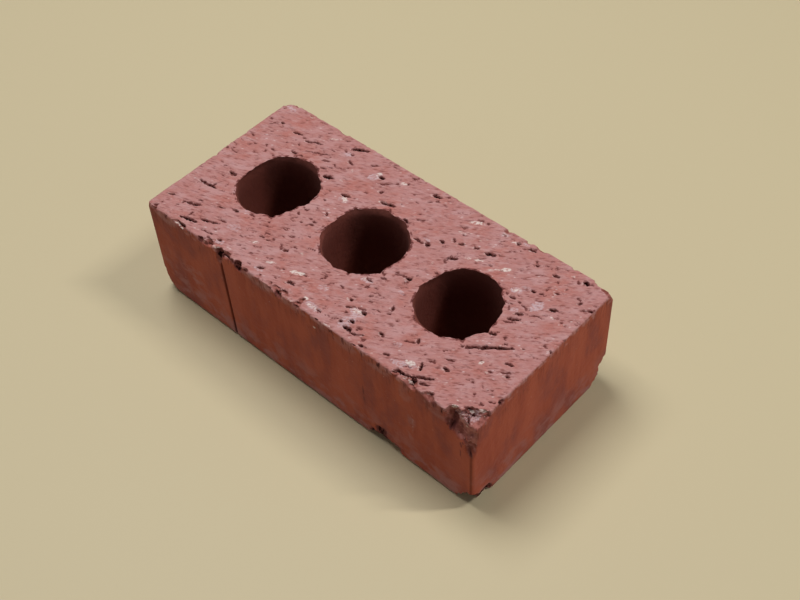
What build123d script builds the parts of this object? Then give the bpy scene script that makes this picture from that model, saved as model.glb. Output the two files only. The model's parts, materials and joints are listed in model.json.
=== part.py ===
"""Cored clay brick: a stiff clay column pushed through a die, cut off by wire, fired, and worn in use.

Millimetres, +Z up. The origin is the middle of the lower bed face. +X runs along the length and the
front face looks along -Y. The column was pushed out along Z, so the cores run from bed to bed.
"""

import os

from build123d import *

# Fired size
brick_length = 194.0
brick_width = 92.0
brick_height = 57.0

# Die: one row of round cores, set a little towards the left end, and rounded upright edges
core_count = 3
core_diameter = 38.0
core_pitch = 54.5
core_row_shift = -3.3
upright_radius = 2.5

# Wire cuts: bed edges and core rims, softened by handling
bed_edge_radius = 1.0
core_rim_radius = 0.6

# Wire tears: where grit was pulled out of the upper bed, turned from the length in degrees at each end
longest_tear = 18.0
tear_width = 1.5
tear_depth = 1.3
tear_turn_left, tear_turn_right = 17.0, 35.0

# The main tears: each one's place as shares of the length and the width, and its share of the longest
main_tear_shares = [
    (-0.235, 0.453, 0.47),
    (-0.393, 0.339, 0.31),
    (-0.342, 0.341, 0.47),
    (-0.228, 0.204, 0.28),
    (-0.433, -0.221, 0.58),
    (-0.413, -0.083, 0.26),
    (-0.407, -0.359, 0.42),
    (-0.379, -0.447, 0.48),
    (-0.335, -0.391, 0.50),
    (-0.129, 0.373, 0.18),
    (-0.057, 0.255, 0.42),
    (-0.152, 0.165, 0.29),
    (0.013, 0.448, 0.23),
    (0.171, 0.185, 0.27),
    (0.119, -0.050, 0.36),
    (0.131, -0.446, 0.23),
    (0.157, -0.442, 0.34),
    (-0.055, -0.418, 0.18),
    (0.225, 0.315, 0.25),
    (0.291, 0.464, 0.19),
    (0.401, -0.109, 1.00),
    (0.381, 0.076, 0.30),
    (0.431, 0.232, 0.19),
    (0.341, -0.435, 0.47),
    (0.363, -0.337, 0.19),
    (0.440, 0.457, 0.17),
]

# Drying crack: a wedge that runs up the front face from the lower bed
crack_from_left_end = 49.0
crack_mouth = 0.9
crack_depth = 6.0
crack_height = 48.0

# Spall: a round scoop out of the lower front edge
spall_from_left_end = 145.0
spall_span = 22.0
spall_rise = 5.5

# Broken corners: how far each break reaches from the corner along the length, the width and the height
front_right_top_reach = (15.0, 7.0, 17.0)
front_right_bottom_reach = (12.0, 17.0, 9.5)
front_left_top_reach = (5.0, 3.0, 4.0)
front_left_bottom_reach = (7.0, 5.0, 7.0)
back_right_top_reach = (12.0, 5.0, 6.0)
back_right_bottom_reach = (8.0, 14.0, 14.0)
back_left_top_reach = (7.0, 6.0, 5.0)

# How far a cutting shape stands out past the face that it cuts
cut_overrun = 1.0

# The faces of the brick, each by its place on its axis
left, right = -brick_length / 2, brick_length / 2
front, back = -brick_width / 2, brick_width / 2
lower_bed, upper_bed = 0.0, brick_height

broken_corners = [
    (right, front, upper_bed, front_right_top_reach),
    (right, front, lower_bed, front_right_bottom_reach),
    (left, front, upper_bed, front_left_top_reach),
    (left, front, lower_bed, front_left_bottom_reach),
    (right, back, upper_bed, back_right_top_reach),
    (right, back, lower_bed, back_right_bottom_reach),
    (left, back, upper_bed, back_left_top_reach),
]


def break_plane(corner_x, corner_y, corner_z, reach):
    """The plane, facing out, through the three points where a break meets the edges of its corner."""
    out_x = 1 if corner_x == right else -1
    out_y = 1 if corner_y == back else -1
    out_z = 1 if corner_z == upper_bed else -1
    reach_x, reach_y, reach_z = reach
    return Plane(
        origin=(corner_x - out_x * reach_x, corner_y, corner_z),
        z_dir=(out_x / reach_x, out_y / reach_y, out_z / reach_z),
    )


with BuildPart() as brick:
    # The column with its cores, cut to the height of one brick
    with BuildSketch() as die_section:
        RectangleRounded(brick_length, brick_width, upright_radius)
        with Locations((core_row_shift, 0)):
            with GridLocations(core_pitch, 0, core_count, 1):
                Circle(core_diameter / 2, mode=Mode.SUBTRACT)
    extrude(amount=brick_height)

    # The wire-cut edges, rounded by wear
    bed_faces = brick.faces().filter_by(Axis.Z)
    core_rims = [edge for face in bed_faces for wire in face.inner_wires() for edge in wire.edges()]
    bed_edges = [edge for face in bed_faces for edge in face.outer_wire().edges()]
    fillet(core_rims, core_rim_radius)
    fillet(bed_edges, bed_edge_radius)

    # The main wire tears, slots along the wire's path, which turns evenly from the left end to the right
    with BuildSketch(Plane.XY.offset(upper_bed + cut_overrun)) as tear_plan:
        for along_share, across_share, length_share in main_tear_shares:
            tear_turn = tear_turn_left + (along_share + 0.5) * (tear_turn_right - tear_turn_left)
            with Locations(Location((along_share * brick_length, across_share * brick_width), tear_turn)):
                SlotOverall(length_share * longest_tear, tear_width)
    extrude(amount=-(tear_depth + cut_overrun), mode=Mode.SUBTRACT)

    # The drying crack, in plan a wedge whose sides run on past the front face
    crack_x = left + crack_from_left_end
    half_mouth = crack_mouth / 2 * (crack_depth + cut_overrun) / crack_depth
    with BuildSketch() as crack_plan:
        with BuildLine():
            Polyline(
                (crack_x - half_mouth, front - cut_overrun),
                (crack_x + half_mouth, front - cut_overrun),
                (crack_x, front + crack_depth),
                close=True,
            )
        make_face()
    extrude(amount=crack_height, mode=Mode.SUBTRACT)

    # The spall, a ball that meets the front face in an arc of the stated span and rise
    spall_radius = ((spall_span / 2) ** 2 + spall_rise**2) / (2 * spall_rise)
    with Locations((left + spall_from_left_end, front, spall_rise - spall_radius)):
        Sphere(spall_radius, mode=Mode.SUBTRACT)

    # The broken corners
    for corner in broken_corners:
        split(bisect_by=break_plane(*corner), keep=Keep.BOTTOM)

brick.part.label = "brick"
os.makedirs("parts", exist_ok=True)
export_step(brick.part, "parts/brick.step")

core_share = 1 - die_section.sketch.area / (brick_length * brick_width)
print(f"brick: {brick.part.volume:.0f} mm3, with {core_share:.0%} of its section open")
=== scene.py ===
# %% [markdown]
# # A cored clay brick
# The brick is one fired piece, so the lesson makes one closed mesh in place of the plain solid. The work is
# in its surface: a bed torn by the cutting wire, sides smoothed by the die, broken corners, and clay that
# is never one colour. Everything is worked out with numpy in millimetres and put into Blender in metres.

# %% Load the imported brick
import json
import math

import bpy
import numpy as np
from mathutils import Matrix, Vector


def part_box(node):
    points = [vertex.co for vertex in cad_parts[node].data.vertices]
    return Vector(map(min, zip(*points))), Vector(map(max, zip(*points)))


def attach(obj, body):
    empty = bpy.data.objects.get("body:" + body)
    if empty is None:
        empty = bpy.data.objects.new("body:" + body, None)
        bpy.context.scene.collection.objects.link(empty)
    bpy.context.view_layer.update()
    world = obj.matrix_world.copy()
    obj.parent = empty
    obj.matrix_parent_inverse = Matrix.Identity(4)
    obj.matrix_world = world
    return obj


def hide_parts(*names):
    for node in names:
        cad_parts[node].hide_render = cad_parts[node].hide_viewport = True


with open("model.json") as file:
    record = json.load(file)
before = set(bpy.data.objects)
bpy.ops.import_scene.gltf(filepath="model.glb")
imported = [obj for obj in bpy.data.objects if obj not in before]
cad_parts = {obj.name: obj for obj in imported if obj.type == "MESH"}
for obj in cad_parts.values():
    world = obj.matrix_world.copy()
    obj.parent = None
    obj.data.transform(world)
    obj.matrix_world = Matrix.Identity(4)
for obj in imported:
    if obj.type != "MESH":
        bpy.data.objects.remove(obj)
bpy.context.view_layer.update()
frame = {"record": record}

MM = 0.001
half_length, half_width, height = np.array(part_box("brick")[1]) / MM
cores = [
    (mount["pos_m"][0] / MM, mount["pos_m"][1] / MM, mount["dims"]["r_mm"])
    for mount in frame["record"]["mounts"]
    if mount["kind"] == "bore"
]
print(f"brick {2 * half_length:.0f} x {2 * half_width:.0f} x {height:.0f} mm, {len(cores)} cores")

# %% [markdown]
# ## Randomness that is the same every time
# Fired clay is uneven at every scale. A texture node could give that to the material, but the mesh needs it
# too, so here is a small noise of our own. It hashes whole-number lattice points and blends between them,
# so it needs no seed state and gives the same brick on every run.

# %% Lattice noise
HASH_PRIMES = (73856093, 19349663, 83492791)
SEED_PRIME, MIX_PRIME = 2654435761, 1274126177
WORD, LOW_BITS, HALF_OF_LOW_BITS = 0xFFFFFFFF, 0xFFFF, 0x7FFF
FIRST_SHIFT, SECOND_SHIFT = 13, 16


def lattice_noise(points, seed):
    """Random values from -1 to 1 at the eight lattice corners round each point, blended by 3t^2 - 2t^3."""
    cell = np.floor(points).astype(np.int64)
    blend = points - cell
    blend = blend * blend * (3 - 2 * blend)
    total = np.zeros(len(points))
    for corner in np.ndindex(2, 2, 2):
        key = (cell + corner) * HASH_PRIMES
        word = (key[:, 0] ^ key[:, 1] ^ key[:, 2] ^ (seed * SEED_PRIME)) & WORD
        word = ((word ^ (word >> FIRST_SHIFT)) * MIX_PRIME) & WORD
        value = ((word ^ (word >> SECOND_SHIFT)) & LOW_BITS) / HALF_OF_LOW_BITS - 1
        total += value * np.prod(np.where(corner, blend, 1 - blend), axis=1)
    return total


def rough(points, size, seed, octaves=3):
    """Lattice noise of lumps about `size` mm across, plus finer copies, each half the size and height."""
    layers = [lattice_noise(points * 2**k / size, seed + k) / 2**k for k in range(octaves)]
    return np.sum(layers, axis=0)


def soft_step(low_end, high_end, value):
    """0 below the low end, 1 above the high end, and 3t^2 - 2t^3 between them."""
    t = np.clip((value - low_end) / (high_end - low_end), 0, 1)
    return t * t * (3 - 2 * t)


print("noise at the middle of one cell", lattice_noise(np.full((1, 3), 0.5), seed=1).round(3))

# %% [markdown]
# ## A grid that makes room for the cores
# Each bed is a flat rectangle with round holes. A triangle mesher could fill it, but a plain grid of rows
# and columns is easier to shape. So each core is a square block of cells left out of the grid, and the
# lines round it are bent until the square is the core's rim. The upper bed, which shows, has twice as many
# lines each way as the lower one. Lines are also drawn together where the front face is cracked.

# %% Lines of the grid
CELLS_LONG, CELLS_WIDE = 180, 86
CORE_CELLS, BEND_CELLS = 14, 25
CRACK_X, CRACK_LINE_SQUEEZE, CRACK_SQUEEZE_REACH = -47.9, 0.8, 4.0


def shared_line(x):
    """The number of the nearest line across the brick that both beds have, which is every second one."""
    return 2 * round((x + half_length) / (2 * half_length) * CELLS_LONG)


fine_x = np.linspace(-half_length, half_length, 2 * CELLS_LONG + 1)
fine_y = np.linspace(-half_width, half_width, 2 * CELLS_WIDE + 1)
crack_line = shared_line(CRACK_X)
from_crack = fine_x - fine_x[crack_line]
near_crack = np.exp(-((from_crack / CRACK_SQUEEZE_REACH) ** 2))
fine_x += near_crack * (CRACK_X - fine_x[crack_line] - CRACK_LINE_SQUEEZE * from_crack)
core_index = [(shared_line(x), CELLS_WIDE) for x, y, r in cores]
print("crack line at", round(fine_x[crack_line], 2), "mm; core lines", core_index)

# %% [markdown]
# ## Ragged core rims
# The wire dragged clay over the rims, so no core is a true circle at the top. The radii below were read off
# the photo every 15 degrees, from +X round through +Y, and the nicks are torn corners between them.
# Noise alone would give raggedness, but not these rims. Lower down the wall is the die's true circle.

# %% Rim outlines
# In millimetres, one list for each core
RIM_RADII = [
    [18.8, 18.9, 19.6, 19.3, 18.7, 20.0, 20.3, 20.0, 19.6, 19.6, 18.4, 17.5,
     17.0, 17.6, 19.1, 19.7, 20.0, 20.5, 20.3, 20.4, 19.4, 19.4, 17.8, 17.1],
    [19.3, 19.6, 20.2, 20.0, 20.0, 20.4, 19.6, 20.6, 20.3, 20.0, 20.2, 19.4,
     18.9, 19.5, 20.6, 19.9, 20.2, 19.7, 20.1, 19.3, 19.8, 19.8, 20.3, 18.8],
    [18.2, 18.1, 18.3, 17.9, 18.3, 19.0, 18.9, 18.6, 18.5, 18.3, 17.8, 17.1,
     17.7, 18.9, 19.0, 19.8, 20.2, 21.0, 20.6, 20.8, 20.0, 19.8, 18.7, 19.4],
]
# Each nick's direction in degrees, its depth in millimetres and its half width in degrees
RIM_NICKS = [
    [(307, 1.9, 5), (2, 0.9, 3), (47, 0.8, 4), (72, 0.7, 3)],
    [(145, 1.2, 4), (293, 1.3, 4), (331, 0.7, 4), (103, 0.6, 3), (37, 0.6, 3)],
    [(287, 1.3, 3), (313, 1.7, 4), (345, 1.6, 4), (38, 0.7, 4), (62, 0.8, 3)],
]
RIM_FRAY, RIM_FRAY_SIZE = 0.42, 2.2


def rim_radius(core, angle):
    """The hand-read radii blended round the core, plus its nicks and a fine fray."""
    steps = len(RIM_RADII[core])
    place = np.mod(np.degrees(angle), 360) / 360 * steps
    before = np.floor(place).astype(int) % steps
    blend = soft_step(0, 1, place - np.floor(place))
    radii = np.array(RIM_RADII[core])
    radius = radii[before] * (1 - blend) + radii[(before + 1) % steps] * blend
    for middle, depth, spread in RIM_NICKS[core]:
        off = np.mod(np.degrees(angle) - middle + 180, 360) - 180
        radius += depth * np.clip(1 - np.abs(off) / spread, 0, 1)
    around = np.column_stack([np.cos(angle), np.sin(angle), np.full(len(angle), core)]) * cores[core][2]
    return radius + RIM_FRAY * rough(around, RIM_FRAY_SIZE, seed=11 + core, octaves=2)


whole_turn = np.radians(np.arange(360))
print("rim radii", [f"{rim_radius(k, whole_turn).mean():.1f} mm on average" for k in range(len(cores))])

# %% [markdown]
# ## Bend the grid round the rims
# A point on the square block's edge has to find its place on the rim. Its angle is taken evenly along each
# side of the square, so that the rim's points are evenly spaced too. From there out to the undisturbed
# lines, every ring of the grid is a blend of the two, so the cells change evenly from the rim outwards.

# %% Points of a bed
def square_angle(di, dj):
    """The angle of a point on a square, so that equal steps along a side are equal turns of a circle."""
    flat = np.abs(di) >= np.abs(dj)
    wide = np.where(flat, di, 1)
    tall = np.where(flat, 1, dj)
    on_side = np.where(di > 0, 0, np.pi) + np.pi / 4 * dj / wide
    on_end = np.where(dj > 0, np.pi / 2, -np.pi / 2) - np.pi / 4 * di / tall
    return np.where(flat, on_side, on_end)


def bed_points(step, ragged):
    """Grid points of a bed: straight lines, bent round each core from its rim to the undisturbed lines."""
    lines_x = np.arange(0, 2 * CELLS_LONG + 1, step)
    lines_y = np.arange(0, 2 * CELLS_WIDE + 1, step)
    i, j = np.meshgrid(lines_x, lines_y, indexing="ij")
    x = fine_x[i]
    y = fine_y[j]
    for core, (core_i, core_j) in enumerate(core_index):
        centre_x, centre_y, radius = cores[core]
        ring = np.maximum(np.abs(i - core_i), np.abs(j - core_j))
        bent = (ring >= 2 * CORE_CELLS) & (ring < 2 * BEND_CELLS)
        di = i[bent] - core_i
        dj = j[bent] - core_j
        ring = ring[bent]
        angle = square_angle(di, dj)
        rim = rim_radius(core, angle) if ragged else np.full(len(angle), radius)
        rim_x = centre_x + rim * np.cos(angle)
        rim_y = centre_y + rim * np.sin(angle)
        out_x = np.interp(core_i + 2 * BEND_CELLS * di / ring, np.arange(len(fine_x)), fine_x)
        out_y = np.interp(core_j + 2 * BEND_CELLS * dj / ring, np.arange(len(fine_y)), fine_y)
        share = (ring / 2 - CORE_CELLS) / (BEND_CELLS - CORE_CELLS)
        x[bent] = rim_x + (out_x - rim_x) * share
        y[bent] = rim_y + (out_y - rim_y) * share
    return x, y


upper_x, upper_y = bed_points(step=1, ragged=True)
lower_x, lower_y = bed_points(step=2, ragged=False)
print("upper bed", upper_x.shape, "points, lower bed", lower_x.shape)

# %% [markdown]
# ## One closed skin
# The skin is the two beds, one strip of rows round the outside and one strip inside each core. The upper
# bed has two edge points for every column of a strip, so the first row of a strip is five-sided faces that
# take two short edges above and one long edge below. Every strip shares its end points with the beds, and
# that is what makes the brick watertight.

# %% Rows of the strips
EDGE_ROW, EDGE_BAND, MIDDLE_ROW = 1.0, 17.0, 2.6
CORE_DEPTHS = np.array([0.5, 1.2, 2.2, 3.6, 5.5, 8.5, 13.0, 19.0, 26.0, 34.0, 42.0, 50.0, 55.5])

edge_rows = np.arange(EDGE_ROW, EDGE_BAND, EDGE_ROW)
middle_count = round((height - 2 * EDGE_BAND) / MIDDLE_ROW)
middle_rows = np.linspace(EDGE_BAND, height - EDGE_BAND, middle_count + 1)
side_depths = np.concatenate([edge_rows, middle_rows, height - edge_rows[::-1]])
print(len(side_depths), "rows down the sides and", len(CORE_DEPTHS), "down each core")

# %% Points and faces
BED, SIDE, CORE, UNDER = range(4)
points = []
zones = []
faces = []


def add_points(x, y, z, zone):
    """Stores points and returns their numbers in the shape that they came in."""
    start = sum(len(block) for block in points)
    points.append(np.column_stack([np.ravel(a) for a in np.broadcast_arrays(x, y, z)]))
    zones.append(np.full(np.size(x), zone))
    return start + np.arange(np.size(x)).reshape(np.shape(x))


def bed_faces(number, step, upwards):
    """Four-sided faces over a bed's grid, apart from the cells inside a core."""
    corners = np.stack([number[:-1, :-1], number[1:, :-1], number[1:, 1:], number[:-1, 1:]], axis=-1)
    i, j = np.indices(corners.shape[:2]) * step + step / 2
    inside = np.zeros(i.shape, bool)
    for core_i, core_j in core_index:
        inside |= np.maximum(np.abs(i - core_i), np.abs(j - core_j)) < 2 * CORE_CELLS
    kept = corners[~inside]
    return kept if upwards else kept[:, ::-1]


def strip_faces(rim_above, rows, rim_below, outwards):
    """A strip's faces: a five-sided row under the finer rim, then four-sided rows down to the lower rim."""
    first = np.vstack([rows, rim_below])
    follows = np.roll(first, -1, axis=1)
    fives = np.column_stack(
        [rim_above[0::2], first[0], follows[0], np.roll(rim_above, -2)[0::2], rim_above[1::2]]
    )
    fours = np.stack([first[:-1], first[1:], follows[1:], follows[:-1]], axis=-1).reshape(-1, 4)
    return (fives, fours) if outwards else (fives[:, ::-1], fours[:, ::-1])


upper = add_points(upper_x, upper_y, height, BED)
lower = add_points(lower_x, lower_y, 0.0, UNDER)
faces += [bed_faces(upper, 1, upwards=True), bed_faces(lower, 2, upwards=False)]
print([len(block) for block in faces], "faces on the upper and the lower bed")

# %% Sides and core walls
BURR_DEPTH = 3.0


def rectangle_loop(i_low, i_high, j_low, j_high, step):
    """Grid places along a rectangle's edge, anticlockwise from its lowest corner, each corner once."""
    up_i = np.arange(i_low, i_high, step)
    up_j = np.arange(j_low, j_high, step)
    down_i = np.arange(i_high, i_low, -step)
    down_j = np.arange(j_high, j_low, -step)
    i = np.concatenate([up_i, np.full(len(up_j), i_high), down_i, np.full(len(down_j), i_low)])
    j = np.concatenate([np.full(len(up_i), j_low), up_j, np.full(len(down_i), j_high), down_j])
    return i, j


def strip(rectangle, depths, zone, outwards, share_at):
    """A strip between the beds, in which a column goes from edge to edge by the share at each depth."""
    above = upper[rectangle_loop(*rectangle, 1)]
    below_i, below_j = rectangle_loop(*rectangle, 2)
    below = lower[below_i // 2, below_j // 2]
    stored = np.vstack(points)
    share = share_at(depths[:, None])
    x, y = (stored[above[0::2], k] * (1 - share) + stored[below, k] * share for k in (0, 1))
    rows = add_points(x, y, height - depths[:, None], zone)
    faces.extend(strip_faces(above, rows, below, outwards))


def straight_down(depth):
    """The share of the way down the brick."""
    return depth / height


def burr_to_die(depth):
    """The share of the way from the ragged rim to the die's circle, all of it by the foot of the burr."""
    return soft_step(0, BURR_DEPTH, depth)


strip((0, 2 * CELLS_LONG, 0, 2 * CELLS_WIDE), side_depths, SIDE, True, straight_down)
for core_i, core_j in core_index:
    reach = 2 * CORE_CELLS
    square = (core_i - reach, core_i + reach, core_j - reach, core_j + reach)
    strip(square, CORE_DEPTHS, CORE, False, burr_to_die)

skin = np.vstack(points)
zone = np.concatenate(zones)
all_corners = np.concatenate([block.ravel() for block in faces])
# Grid points inside a core's square belong to no face
used = np.unique(all_corners)
print(len(used), "points,", sum(len(block) * (block.shape[1] - 2) for block in faces), "triangles")

# %% [markdown]
# ## Wear: worn edges, broken corners and chips
# A real corner breaks by losing clay, so wear is worked out as a solid that has lost some. A point is
# outside what is left if it lies past a worn edge, past a break or inside a chip. Boolean cuts could take
# the same clay away, but they leave flat faces and a broken grid. Here each point near an edge walks
# inwards, away from the faces that it is near, until it is on what is left. One rule serves every edge.

# %% Where clay was lost
RIGHT, LEFT, FRONT, BACK, TOP, FOOT = 1, -1, -1, 1, 1, -1
# Each break's corner, and how far it reaches along the length, the width and the height
BROKEN_CORNERS = [
    (RIGHT, BACK, FOOT, (9.0, 13.0, 10.0)),
    (LEFT, FRONT, TOP, (5.0, 3.0, 4.0)),
    (LEFT, FRONT, FOOT, (7.0, 5.0, 7.0)),
    (LEFT, FRONT, FOOT, (14.0, 6.0, 4.2)),
    (LEFT, FRONT, FOOT, (3.6, 6.0, 15.0)),
    (RIGHT, BACK, TOP, (12.0, 5.0, 6.0)),
    (LEFT, BACK, TOP, (7.0, 6.0, 5.0)),
]
# Each chip is a hollow: its middle, its half sizes along length, width and height, and how square it is
CHIPS = [
    ((47.5, -46.4, -6.0), (11.0, 3.4, 16.0), 2),
    ((99.0, -47.0, -1.0), (10.0, 7.2, 11.2), 2.5),
    ((98.5, -38.5, 1.0), (3.5, 6.2, 8.8), 2),
    ((99.0, 50.0, 5.0), (12.0, 9.2, 9.4), 8),
    ((-48.5, -46.4, 56.0), (2.6, 3.0, 7.5), 2),
    ((-44.5, -46.6, 57.5), (4.0, 3.4, 4.0), 2),
    ((-36.5, -46.4, 56.5), (2.8, 2.6, 5.0), 2),
    ((-75.5, -46.6, 57.4), (4.4, 2.4, 2.8), 2),
    ((-61.0, -46.6, 57.3), (2.6, 2.2, 4.0), 2),
    ((-31.0, -46.6, 57.3), (2.0, 2.0, 2.4), 2),
    ((63.5, -46.6, 57.6), (3.2, 3.6, 3.2), 2),
    ((74.0, -46.6, 57.4), (4.0, 2.8, 3.0), 2),
    ((85.4, -46.5, 54.0), (3.0, 4.6, 9.6), 3),
    ((90.5, -48.0, 52.5), (8.4, 5.2, 9.0), 4),
    ((95.0, -47.0, 58.0), (7.0, 10.6, 5.5), 3),
    ((97.4, -46.8, 45.0), (4.4, 3.6, 8.5), 3),
    ((63.0, -47.0, 58.2), (9.0, 5.5, 2.8), 2),
    ((97.3, -28.7, 57.0), (1.8, 1.9, 2.6), 2),
    ((59.0, 46.8, 57.4), (4.5, 2.9, 2.4), 2),
    ((-60.0, 46.8, 57.4), (4.0, 2.2, 2.0), 2),
    ((90.0, 46.8, 57.3), (4.0, 3.2, 3.6), 2),
]
print(len(BROKEN_CORNERS), "breaks and", len(CHIPS), "chips")

# %% What is left of the box
UPRIGHT_RADIUS = 1.3
BREAK_ROUGHNESS, CHIP_ROUGHNESS = 1.3, 0.22


def depths_inside(p):
    """How far each point lies inside the nearer end, side and bed."""
    middle = height / 2
    return half_length - np.abs(p[:, 0]), half_width - np.abs(p[:, 1]), middle - np.abs(p[:, 2] - middle)


def past_edge(a, b, radius, bite):
    """How far a point, at depths a and b inside an edge's two faces, lies past its round or its bevel."""
    past_round = np.hypot(np.maximum(radius - a, 0), np.maximum(radius - b, 0)) - radius
    return np.maximum(past_round, bite - (a + b) / math.sqrt(2))


def past_break(p, out_x, out_y, out_z, reach):
    """How far each point lies past the plane through the three points where a break meets its edges."""
    x_in = half_length - out_x * p[:, 0]
    y_in = half_width - out_y * p[:, 1]
    z_in = height - p[:, 2] if out_z == TOP else p[:, 2]
    steep = np.linalg.norm(1 / np.array(reach))
    return (1 - (x_in / reach[0] + y_in / reach[1] + z_in / reach[2])) / steep


def outside(p, radius, bite, lumps, broken):
    """How far each point lies outside what is left: the worst of its edges, breaks and chips."""
    end, side, bed = depths_inside(p)
    worst = past_edge(end, side, UPRIGHT_RADIUS, 0)
    worst = np.maximum(worst, past_edge(end, bed, radius, bite))
    worst = np.maximum(worst, past_edge(side, bed, radius, bite))
    if not broken:
        return worst
    for corner in BROKEN_CORNERS:
        worst = np.maximum(worst, past_break(p, *corner) + BREAK_ROUGHNESS * lumps)
    for middle, half_size, squareness in CHIPS:
        inside = 1 - np.linalg.norm((p - middle) / half_size, squareness, axis=1) + CHIP_ROUGHNESS * lumps
        worst = np.maximum(worst, inside * min(half_size))
    return worst


worst_corner = outside(np.array([[half_length, half_width, height]]), UPRIGHT_RADIUS, 0, 0, True)
print("the right back top corner lies", worst_corner.round(1), "mm outside")

# %% Walk inwards
EDGE_RADIUS, EDGE_RADIUS_SPREAD, EDGE_LUMP, LEAST_EDGE_RADIUS = 0.8, 0.3, 5.0, 0.2
SOFT_CORNER, SOFT_CORNER_ADDS, FOOT_ADDS = (-78.0, -96.0), 1.0, 1.0
BITE, BITE_LUMP, BITE_SPARED = 4.0, 4.0, 0.12
CALM_END, CALM_RIGHT_SHARE, CALM_LEFT_SHARE = (90.0, 95.0), 0.2, 0.5
CALM_BACK_SHARE, CALM_FOOT_SHARE = 0.6, 0.3
BREAK_LUMP, BREAK_SUNK = 4.5, 0.2
WALK_REACH, WALK_STEPS = 16.0, 60


def edge_radius(p):
    """The radius of the worn edges: uneven, and larger at the left front corner and round the foot."""
    radius = np.maximum(EDGE_RADIUS + EDGE_RADIUS_SPREAD * rough(p, EDGE_LUMP, seed=31), LEAST_EDGE_RADIUS)
    radius += SOFT_CORNER_ADDS * soft_step(*SOFT_CORNER, p[:, 0]) * (p[:, 1] < 0)
    return radius + FOOT_ADDS * (p[:, 2] < height / 2)


def edge_bite(p):
    """The depth of the bevel bitten from an edge: the peaks of a noise, fewer at the ends, back and foot."""
    ragged = 1 - (1 - CALM_RIGHT_SHARE) * soft_step(*CALM_END, p[:, 0])
    ragged -= (1 - CALM_LEFT_SHARE) * soft_step(*CALM_END, -p[:, 0])
    ragged *= np.where(p[:, 1] > 0, CALM_BACK_SHARE, 1.0)
    ragged *= np.where(p[:, 2] > height / 2, 1.0, CALM_FOOT_SHARE)
    return BITE * ragged * np.maximum(rough(p, BITE_LUMP, seed=35) - BITE_SPARED, 0)


def walk_in(p, broken):
    """Moves each point inwards, by as much as it is outside, until it lies on what is left."""
    depth = np.column_stack(depths_inside(p))
    lean = np.clip(1 - depth / WALK_REACH, 0, 1)
    inward = -lean * np.sign(p - [0, 0, height / 2])
    inward /= np.linalg.norm(inward, axis=1, keepdims=True)
    radius = edge_radius(p)
    bite = broken * edge_bite(p)
    lumps = rough(p, BREAK_LUMP, seed=41, octaves=4) - BREAK_SUNK
    walked = np.zeros(len(p))
    for _ in range(WALK_STEPS):
        walked += np.maximum(outside(p + inward * walked[:, None], radius, bite, lumps, broken), 0)
    return p + inward * walked[:, None], walked


side_radii = edge_radius(skin[zone == SIDE])
print(f"worn edges of {side_radii.min():.1f} to {side_radii.max():.1f} mm radius")

# %% Wear the box
WALK_MARGIN = 2.0
BROKEN_FROM, BROKEN_FULL = 0.1, 0.8

second_depth = np.sort(np.column_stack(depths_inside(skin)), axis=1)[:, 1]
near_edge = (zone != CORE) & (second_depth < WALK_REACH + WALK_MARGIN)
worn = skin.copy()
worn[near_edge], walked_all = walk_in(skin[near_edge], broken=True)
_, walked_round = walk_in(skin[near_edge], broken=False)
broken = np.zeros(len(skin))
broken[near_edge] = soft_step(BROKEN_FROM, BROKEN_FULL, walked_all - walked_round)
print("deepest break", round(walked_all.max(), 1), "mm;", int((broken > 0.5).sum()), "points on broken clay")

# %% [markdown]
# ## The crack
# The front face opened as the clay dried. A dark line in the material would do from afar, but a real gap
# catches the light at its lips. The grid has lines drawn together there, so the crack is a wedge in the
# mesh: its middle line goes in the deepest and the lines beside it go in part of the way. The clay at the
# mouth is darkened too, since little light leaves so narrow a gap.

# %% Open the crack
ON_FACE = 0.01
CRACK_MOUTH, CRACK_DEPTH, CRACK_RIM = 1.2, 6.0, 0.35
CRACK_TOP, CRACK_FADE = 50.0, 3.0
CRACK_LEAN, CRACK_LEAN_REACH = 0.02, 6.0

front_points = (zone == SIDE) & (skin[:, 1] < -half_width + ON_FACE)
crack_off = np.abs(skin[:, 0] - CRACK_X) / (CRACK_MOUTH / 2)
below_top = soft_step(CRACK_TOP, CRACK_TOP - CRACK_FADE, skin[:, 2])
crack_open = np.clip(1 - crack_off, 0, 1) * below_top
crack_dark = soft_step(-CRACK_RIM, 0, 1 - crack_off) * below_top
leaning = CRACK_LEAN * soft_step(CRACK_LEAN_REACH, 0.0, np.abs(skin[:, 0] - CRACK_X))
worn[front_points, 1] += (CRACK_DEPTH * crack_open)[front_points]
worn[front_points, 0] += (leaning * (height / 2 - skin[:, 2]))[front_points]
print("crack points", int((crack_open[front_points] > 0).sum()))

# %% [markdown]
# ## Drag and tears on the beds
# The cutting wire pulled grit through soft clay. It left fine streaks along its path, and longer tears
# where grit or a lump of clay came out. The streaks turn slowly along the brick, so they are drawn in
# coordinates that follow the wire. The larger tears were placed from the photo, since their places
# are what makes this brick this brick, and small ones are scattered.

# %% Coordinates along the wire
DRAG_LEFT, DRAG_RIGHT = math.radians(19), math.radians(37)


def drag_angle(x):
    """The wire's direction, turning evenly from the left end to the right end."""
    return DRAG_LEFT + (DRAG_RIGHT - DRAG_LEFT) * (x + half_length) / (2 * half_length)


def drag_coordinates(x, y):
    """Distance along the wire's path and across it: a path is y = integral of tan(angle) dx."""
    turn = (DRAG_RIGHT - DRAG_LEFT) / (2 * half_length)
    angle = drag_angle(x)
    path = -np.log(np.cos(angle)) / turn
    return x / np.cos(angle), (y - path) * np.cos(angle)


along, across = drag_coordinates(skin[:, 0], skin[:, 1])
print("the wire turns by", round(math.degrees(DRAG_RIGHT - DRAG_LEFT)), "degrees along the brick")
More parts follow.
